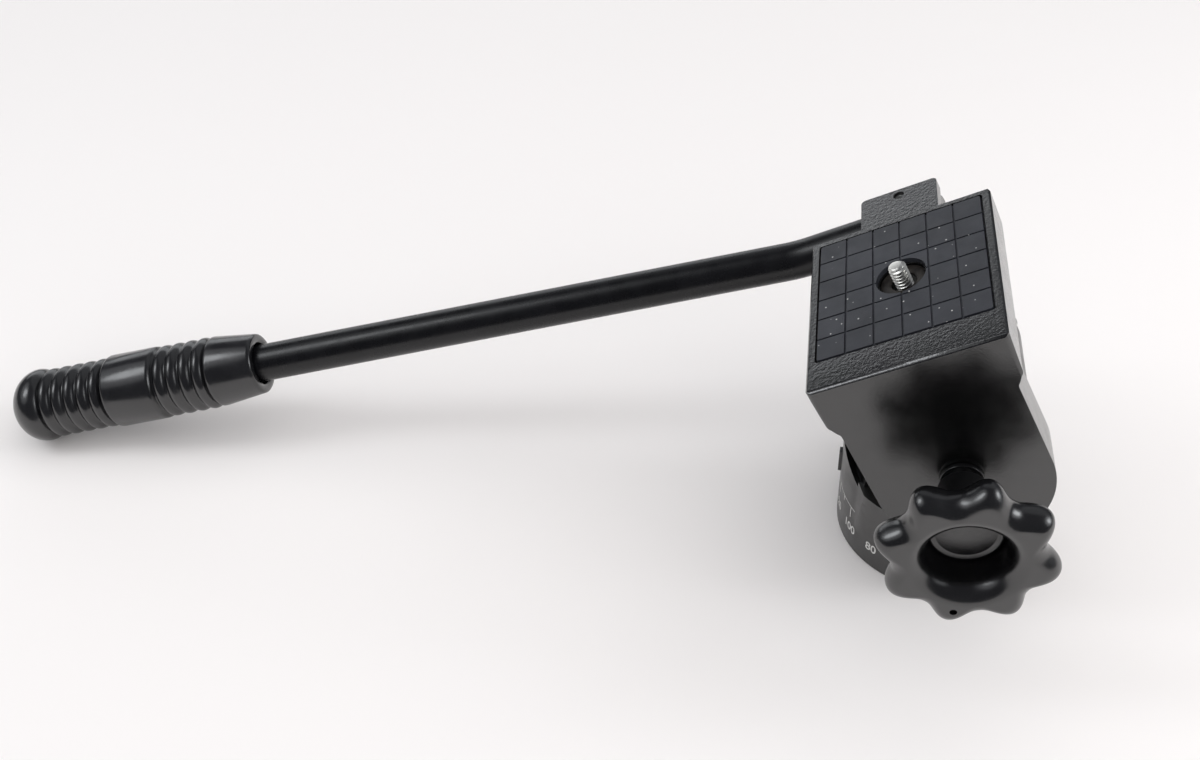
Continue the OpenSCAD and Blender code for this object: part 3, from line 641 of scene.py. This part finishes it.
# %% Tube
TUBE_R = 7.3
TUBE_WALL = 1.2
BEND_R = 40.0
BEND = radians(15.8)
BEND_RUN = BEND_R * tan(BEND / 2)
TUBE_OUT = 12.4
TUBE_FRONT = TUBE_OUT - BEND_X
REACH = 316.0
BORE_END = 14.0
TUBE_REAR = REACH - BORE_END
bm = bmesh.new()
ring = bmesh.ops.create_circle(bm, segments=64, radius=TUBE_R * MM,
                               matrix=Matrix.Translation((TUBE_FRONT * MM, 0, 0))
                               @ Matrix.Rotation(radians(90), 4, "Y"))["verts"]
ring = pull(bm, ring, ((BEND_RUN - TUBE_FRONT) * MM, 0, 0))
edges = [e for e in bm.edges if all(v in ring for v in e.verts)]
last = bmesh.ops.spin(bm, geom=ring + edges, cent=(BEND_RUN * MM, 0, BEND_R * MM), axis=(0, 1, 0),
                      angle=BEND, steps=12, use_merge=False)["geom_last"]
ring = [v for v in last if isinstance(v, bmesh.types.BMVert)]
far = TUBE_REAR - BEND_RUN
ring = pull(bm, ring, (-far * cos(BEND) * MM, 0, far * sin(BEND) * MM))
bmesh.ops.recalc_face_normals(bm, faces=bm.faces)
bmesh.ops.solidify(bm, geom=bm.faces[:], thickness=TUBE_WALL * MM)
piece("handle_tube_painted", bm, tube_paint, "tilt", ["handle_tube"], HANDLE)

# %% [markdown]
# ## Grip
# The grip is turned: an oval end, five rings, a plain band, four rings and a cone that ends in a
# lip round the tube. Each ring is a half wave, so it carries its own highlight.

# %% Grip
GRIP_R = 14.3
GRIP_L = 101.0
BORE_R = TUBE_R + 0.02


def rings(start, count, pitch, crest, root):
    """Points of a row of rings, each a half wave over nine tenths of the pitch."""
    points = []
    for i in range(count):
        for k in range(11):
            swell = sin(pi * k / 10) ** 0.75
            points.append((root + (crest - root) * swell, start + pitch * (i + 0.05 + 0.09 * k)))
    return points


DOME_L = 10.8
grip = (arc((0, DOME_L), GRIP_R + 0.1, -90, 0, 24, DOME_L / (GRIP_R + 0.1))
        + [(GRIP_R - 0.1, 11.9), (GRIP_R - 0.7, 13.1), (GRIP_R - 1.7, 13.9)]
        + rings(14.1, 5, 5.16, GRIP_R - 0.7, GRIP_R - 2.4)
        + [(GRIP_R - 1.8, 40.3), (GRIP_R - 0.7, 40.8), (GRIP_R - 0.2, 41.3), (GRIP_R, 42.0), (GRIP_R, 59.6),
           (GRIP_R - 0.15, 60.3), (GRIP_R - 0.6, 60.8), (GRIP_R - 1.7, 61.2)]
        + rings(61.4, 4, 5.25, GRIP_R - 0.2, GRIP_R - 1.9)
        + [(GRIP_R - 1.6, 82.6), (GRIP_R - 0.8, 83.1), (GRIP_R - 0.5, 83.7), (GRIP_R - 0.5, 84.4),
           (GRIP_R - 2.4, GRIP_L - 1.4), (GRIP_R - 2.6, GRIP_L - 0.5), (GRIP_R - 3.2, GRIP_L),
           (TUBE_R + 1.4, GRIP_L), (TUBE_R + 1.0, GRIP_L - 0.4), (TUBE_R + 1.0, GRIP_L - 4),
           (BORE_R, GRIP_L - 4.4), (BORE_R, BORE_END), (0, BORE_END)])
GRIP_PLACE = (HANDLE @ Matrix.Rotation(BEND, 4, "Y") @ Matrix.Translation((-REACH * MM, 0, 0))
              @ Matrix.Rotation(radians(90), 4, "Y"))
piece("handle_grip_moulded", turned(grip, 96), grip_plastic, "tilt",
      ["handle_grip"], GRIP_PLACE, sharp=60)

# %% [markdown]
# ## Degree scale
# The drum carries a white printed scale: a base line, long ticks every 20 degrees, short ticks
# between them, and plain numbers under the long ticks. A tick is a short edge spun a little way
# round the drum. A number is text made into a mesh and then wrapped round the drum.

# %% Ticks
DRUM_R = 37.2
LINE_Z = 19.3
LINE_W = 0.26
LINE_SPAN = 63.2
TICK_W = 0.62
LONG_TICK, SHORT_TICK = 5.0, 2.6
WALL_NEAR, WALL_FAR = -19.5, 21.0
PRINT_OUT = 0.03
FIRST = -152.4


def printed(bm):
    """Gives thin print its thickness, half of it sunk into the drum."""
    bmesh.ops.recalc_face_normals(bm, faces=bm.faces)
    bmesh.ops.solidify(bm, geom=bm.faces[:], thickness=2 * PRINT_OUT * MM)
    return bm


def stripe(bm, angle, wide, low, high):
    """A printed stripe on the drum: wide degrees round it, from a low to a high height."""
    start = radians(angle - wide / 2)
    across = Vector((cos(start), sin(start), 0)) * (DRUM_R + PRINT_OUT)
    foot = [bm.verts.new((across + Vector((0, 0, z))) * MM) for z in (low, high)]
    edge = bm.edges.new(foot)
    steps = max(1, int(wide))
    bmesh.ops.spin(bm, geom=foot + [edge], cent=(0, 0, 0), axis=(0, 0, 1), angle=radians(wide),
                   steps=steps, use_merge=False)


def on_wall(angle):
    """True where the drum's wall stands above the full-round part."""
    return WALL_NEAR < sin(radians(angle)) * DRUM_R < WALL_FAR


bm = bmesh.new()
for step in range(36):
    angle = FIRST + step * 10
    if on_wall(angle):
        stripe(bm, angle, TICK_W, LINE_Z - (LONG_TICK if step % 2 == 0 else SHORT_TICK), LINE_Z)
for middle in (0, 180):
    stripe(bm, middle, LINE_SPAN, LINE_Z - LINE_W / 2, LINE_Z + LINE_W / 2)
piece("scale_ticks", printed(bm), scale_print, "pan")

# %% Numbers
NUMBER_SIZE = 5.2
NUMBER_BOLD = 0.06
NUMBER_Z = 9.4
FIRST_NUMBER = 100
bm = bmesh.new()
for step in range(18):
    value = (FIRST_NUMBER - 20 * step) % 360
    letters = bpy.data.curves.new("number", "FONT")
    letters.body = str(value)
    letters.size = NUMBER_SIZE
    letters.align_x = "CENTER"
    letters.align_y = "CENTER"
    letters.offset = NUMBER_BOLD
    obj = link_object("number", letters)
    flat = bpy.data.meshes.new_from_object(obj.evaluated_get(bpy.context.evaluated_depsgraph_get()))
    before = len(bm.verts)
    bm.from_mesh(flat)
    bm.verts.ensure_lookup_table()
    turn = radians(FIRST + 20 * step)
    for vert in bm.verts[before:]:
        angle = turn + vert.co.x / DRUM_R
        vert.co = Vector(((DRUM_R + PRINT_OUT) * cos(angle), (DRUM_R + PRINT_OUT) * sin(angle),
                          NUMBER_Z + vert.co.y)) * MM
    bpy.data.objects.remove(obj)
    bpy.data.curves.remove(letters)
    bpy.data.meshes.remove(flat)
piece("scale_numbers", printed(bm), scale_print, "pan")

# %% [markdown]
# ## Smaller parts
# Bolts, nuts, washers, bushes and the second knob keep the shape of their solids. A narrow
# rounding on a merged copy makes them look machined; hidden parts only get their finish.

# %% Rounded hardware
HARDWARE = [
    ("handle_socket", 0.5, wrinkle_paint), ("tube_plug", 0.3, knob_plastic),
    ("base_plate", 0.3, drum_paint), ("brake_disc", 0.4, drum_paint),
    ("chamber_cover", 0.3, drum_paint), ("pan_knob", 0.4, knob_plastic),
    ("thumb_wheel", 0.15, knob_plastic), ("thrust_washer", 0.2, knob_plastic),
    ("nut_washer", 0.2, steel), ("shaft_nut", 0.4, steel), ("clamp_screw", 0.2, steel),
    ("socket_bolt_front", 0.2, steel), ("socket_bolt_rear", 0.2, steel),
    ("wheel_keeper", 0.25, steel), ("keeper_screw_front", 0.2, steel),
    ("keeper_screw_rear", 0.2, steel), ("spindle_nut", 0.3, steel), ("thread_bush", 0.3, bronze),
]
body_of = {node: body for body, nodes in frame["record"]["behaviour"]["bodies"].items()
           for node in nodes}
slot_of = {part["node"]: part["material_slot"] for part in frame["record"]["subparts"]}
for node, width, material in HARDWARE:
    piece(node + "_rounded", rounded(node, width), material, body_of[node], [node],
          sharp=50, flat_faces=True)

# %% Finish on the hidden solids
BY_SLOT = {"ring_finish": drum_paint, "casting_paint": wrinkle_paint, "knob_plastic": knob_plastic,
           "tube_paint": tube_paint, "grip_plastic": grip_plastic, "pad_rubber": pad_rubber,
           "bronze": bronze, "steel": steel, "zinc_screw": zinc, "damper_metal": steel,
           "friction_disc": ptfe}
for node, obj in frame["nodes"].items():
    obj.data.materials.clear()
    obj.data.materials.append(BY_SLOT[slot_of[node]])
frame["nodes"]["tilt_shaft"].data.materials[0] = shaded_satin_paint
print("finishes set on", len(frame["nodes"]), "solids")
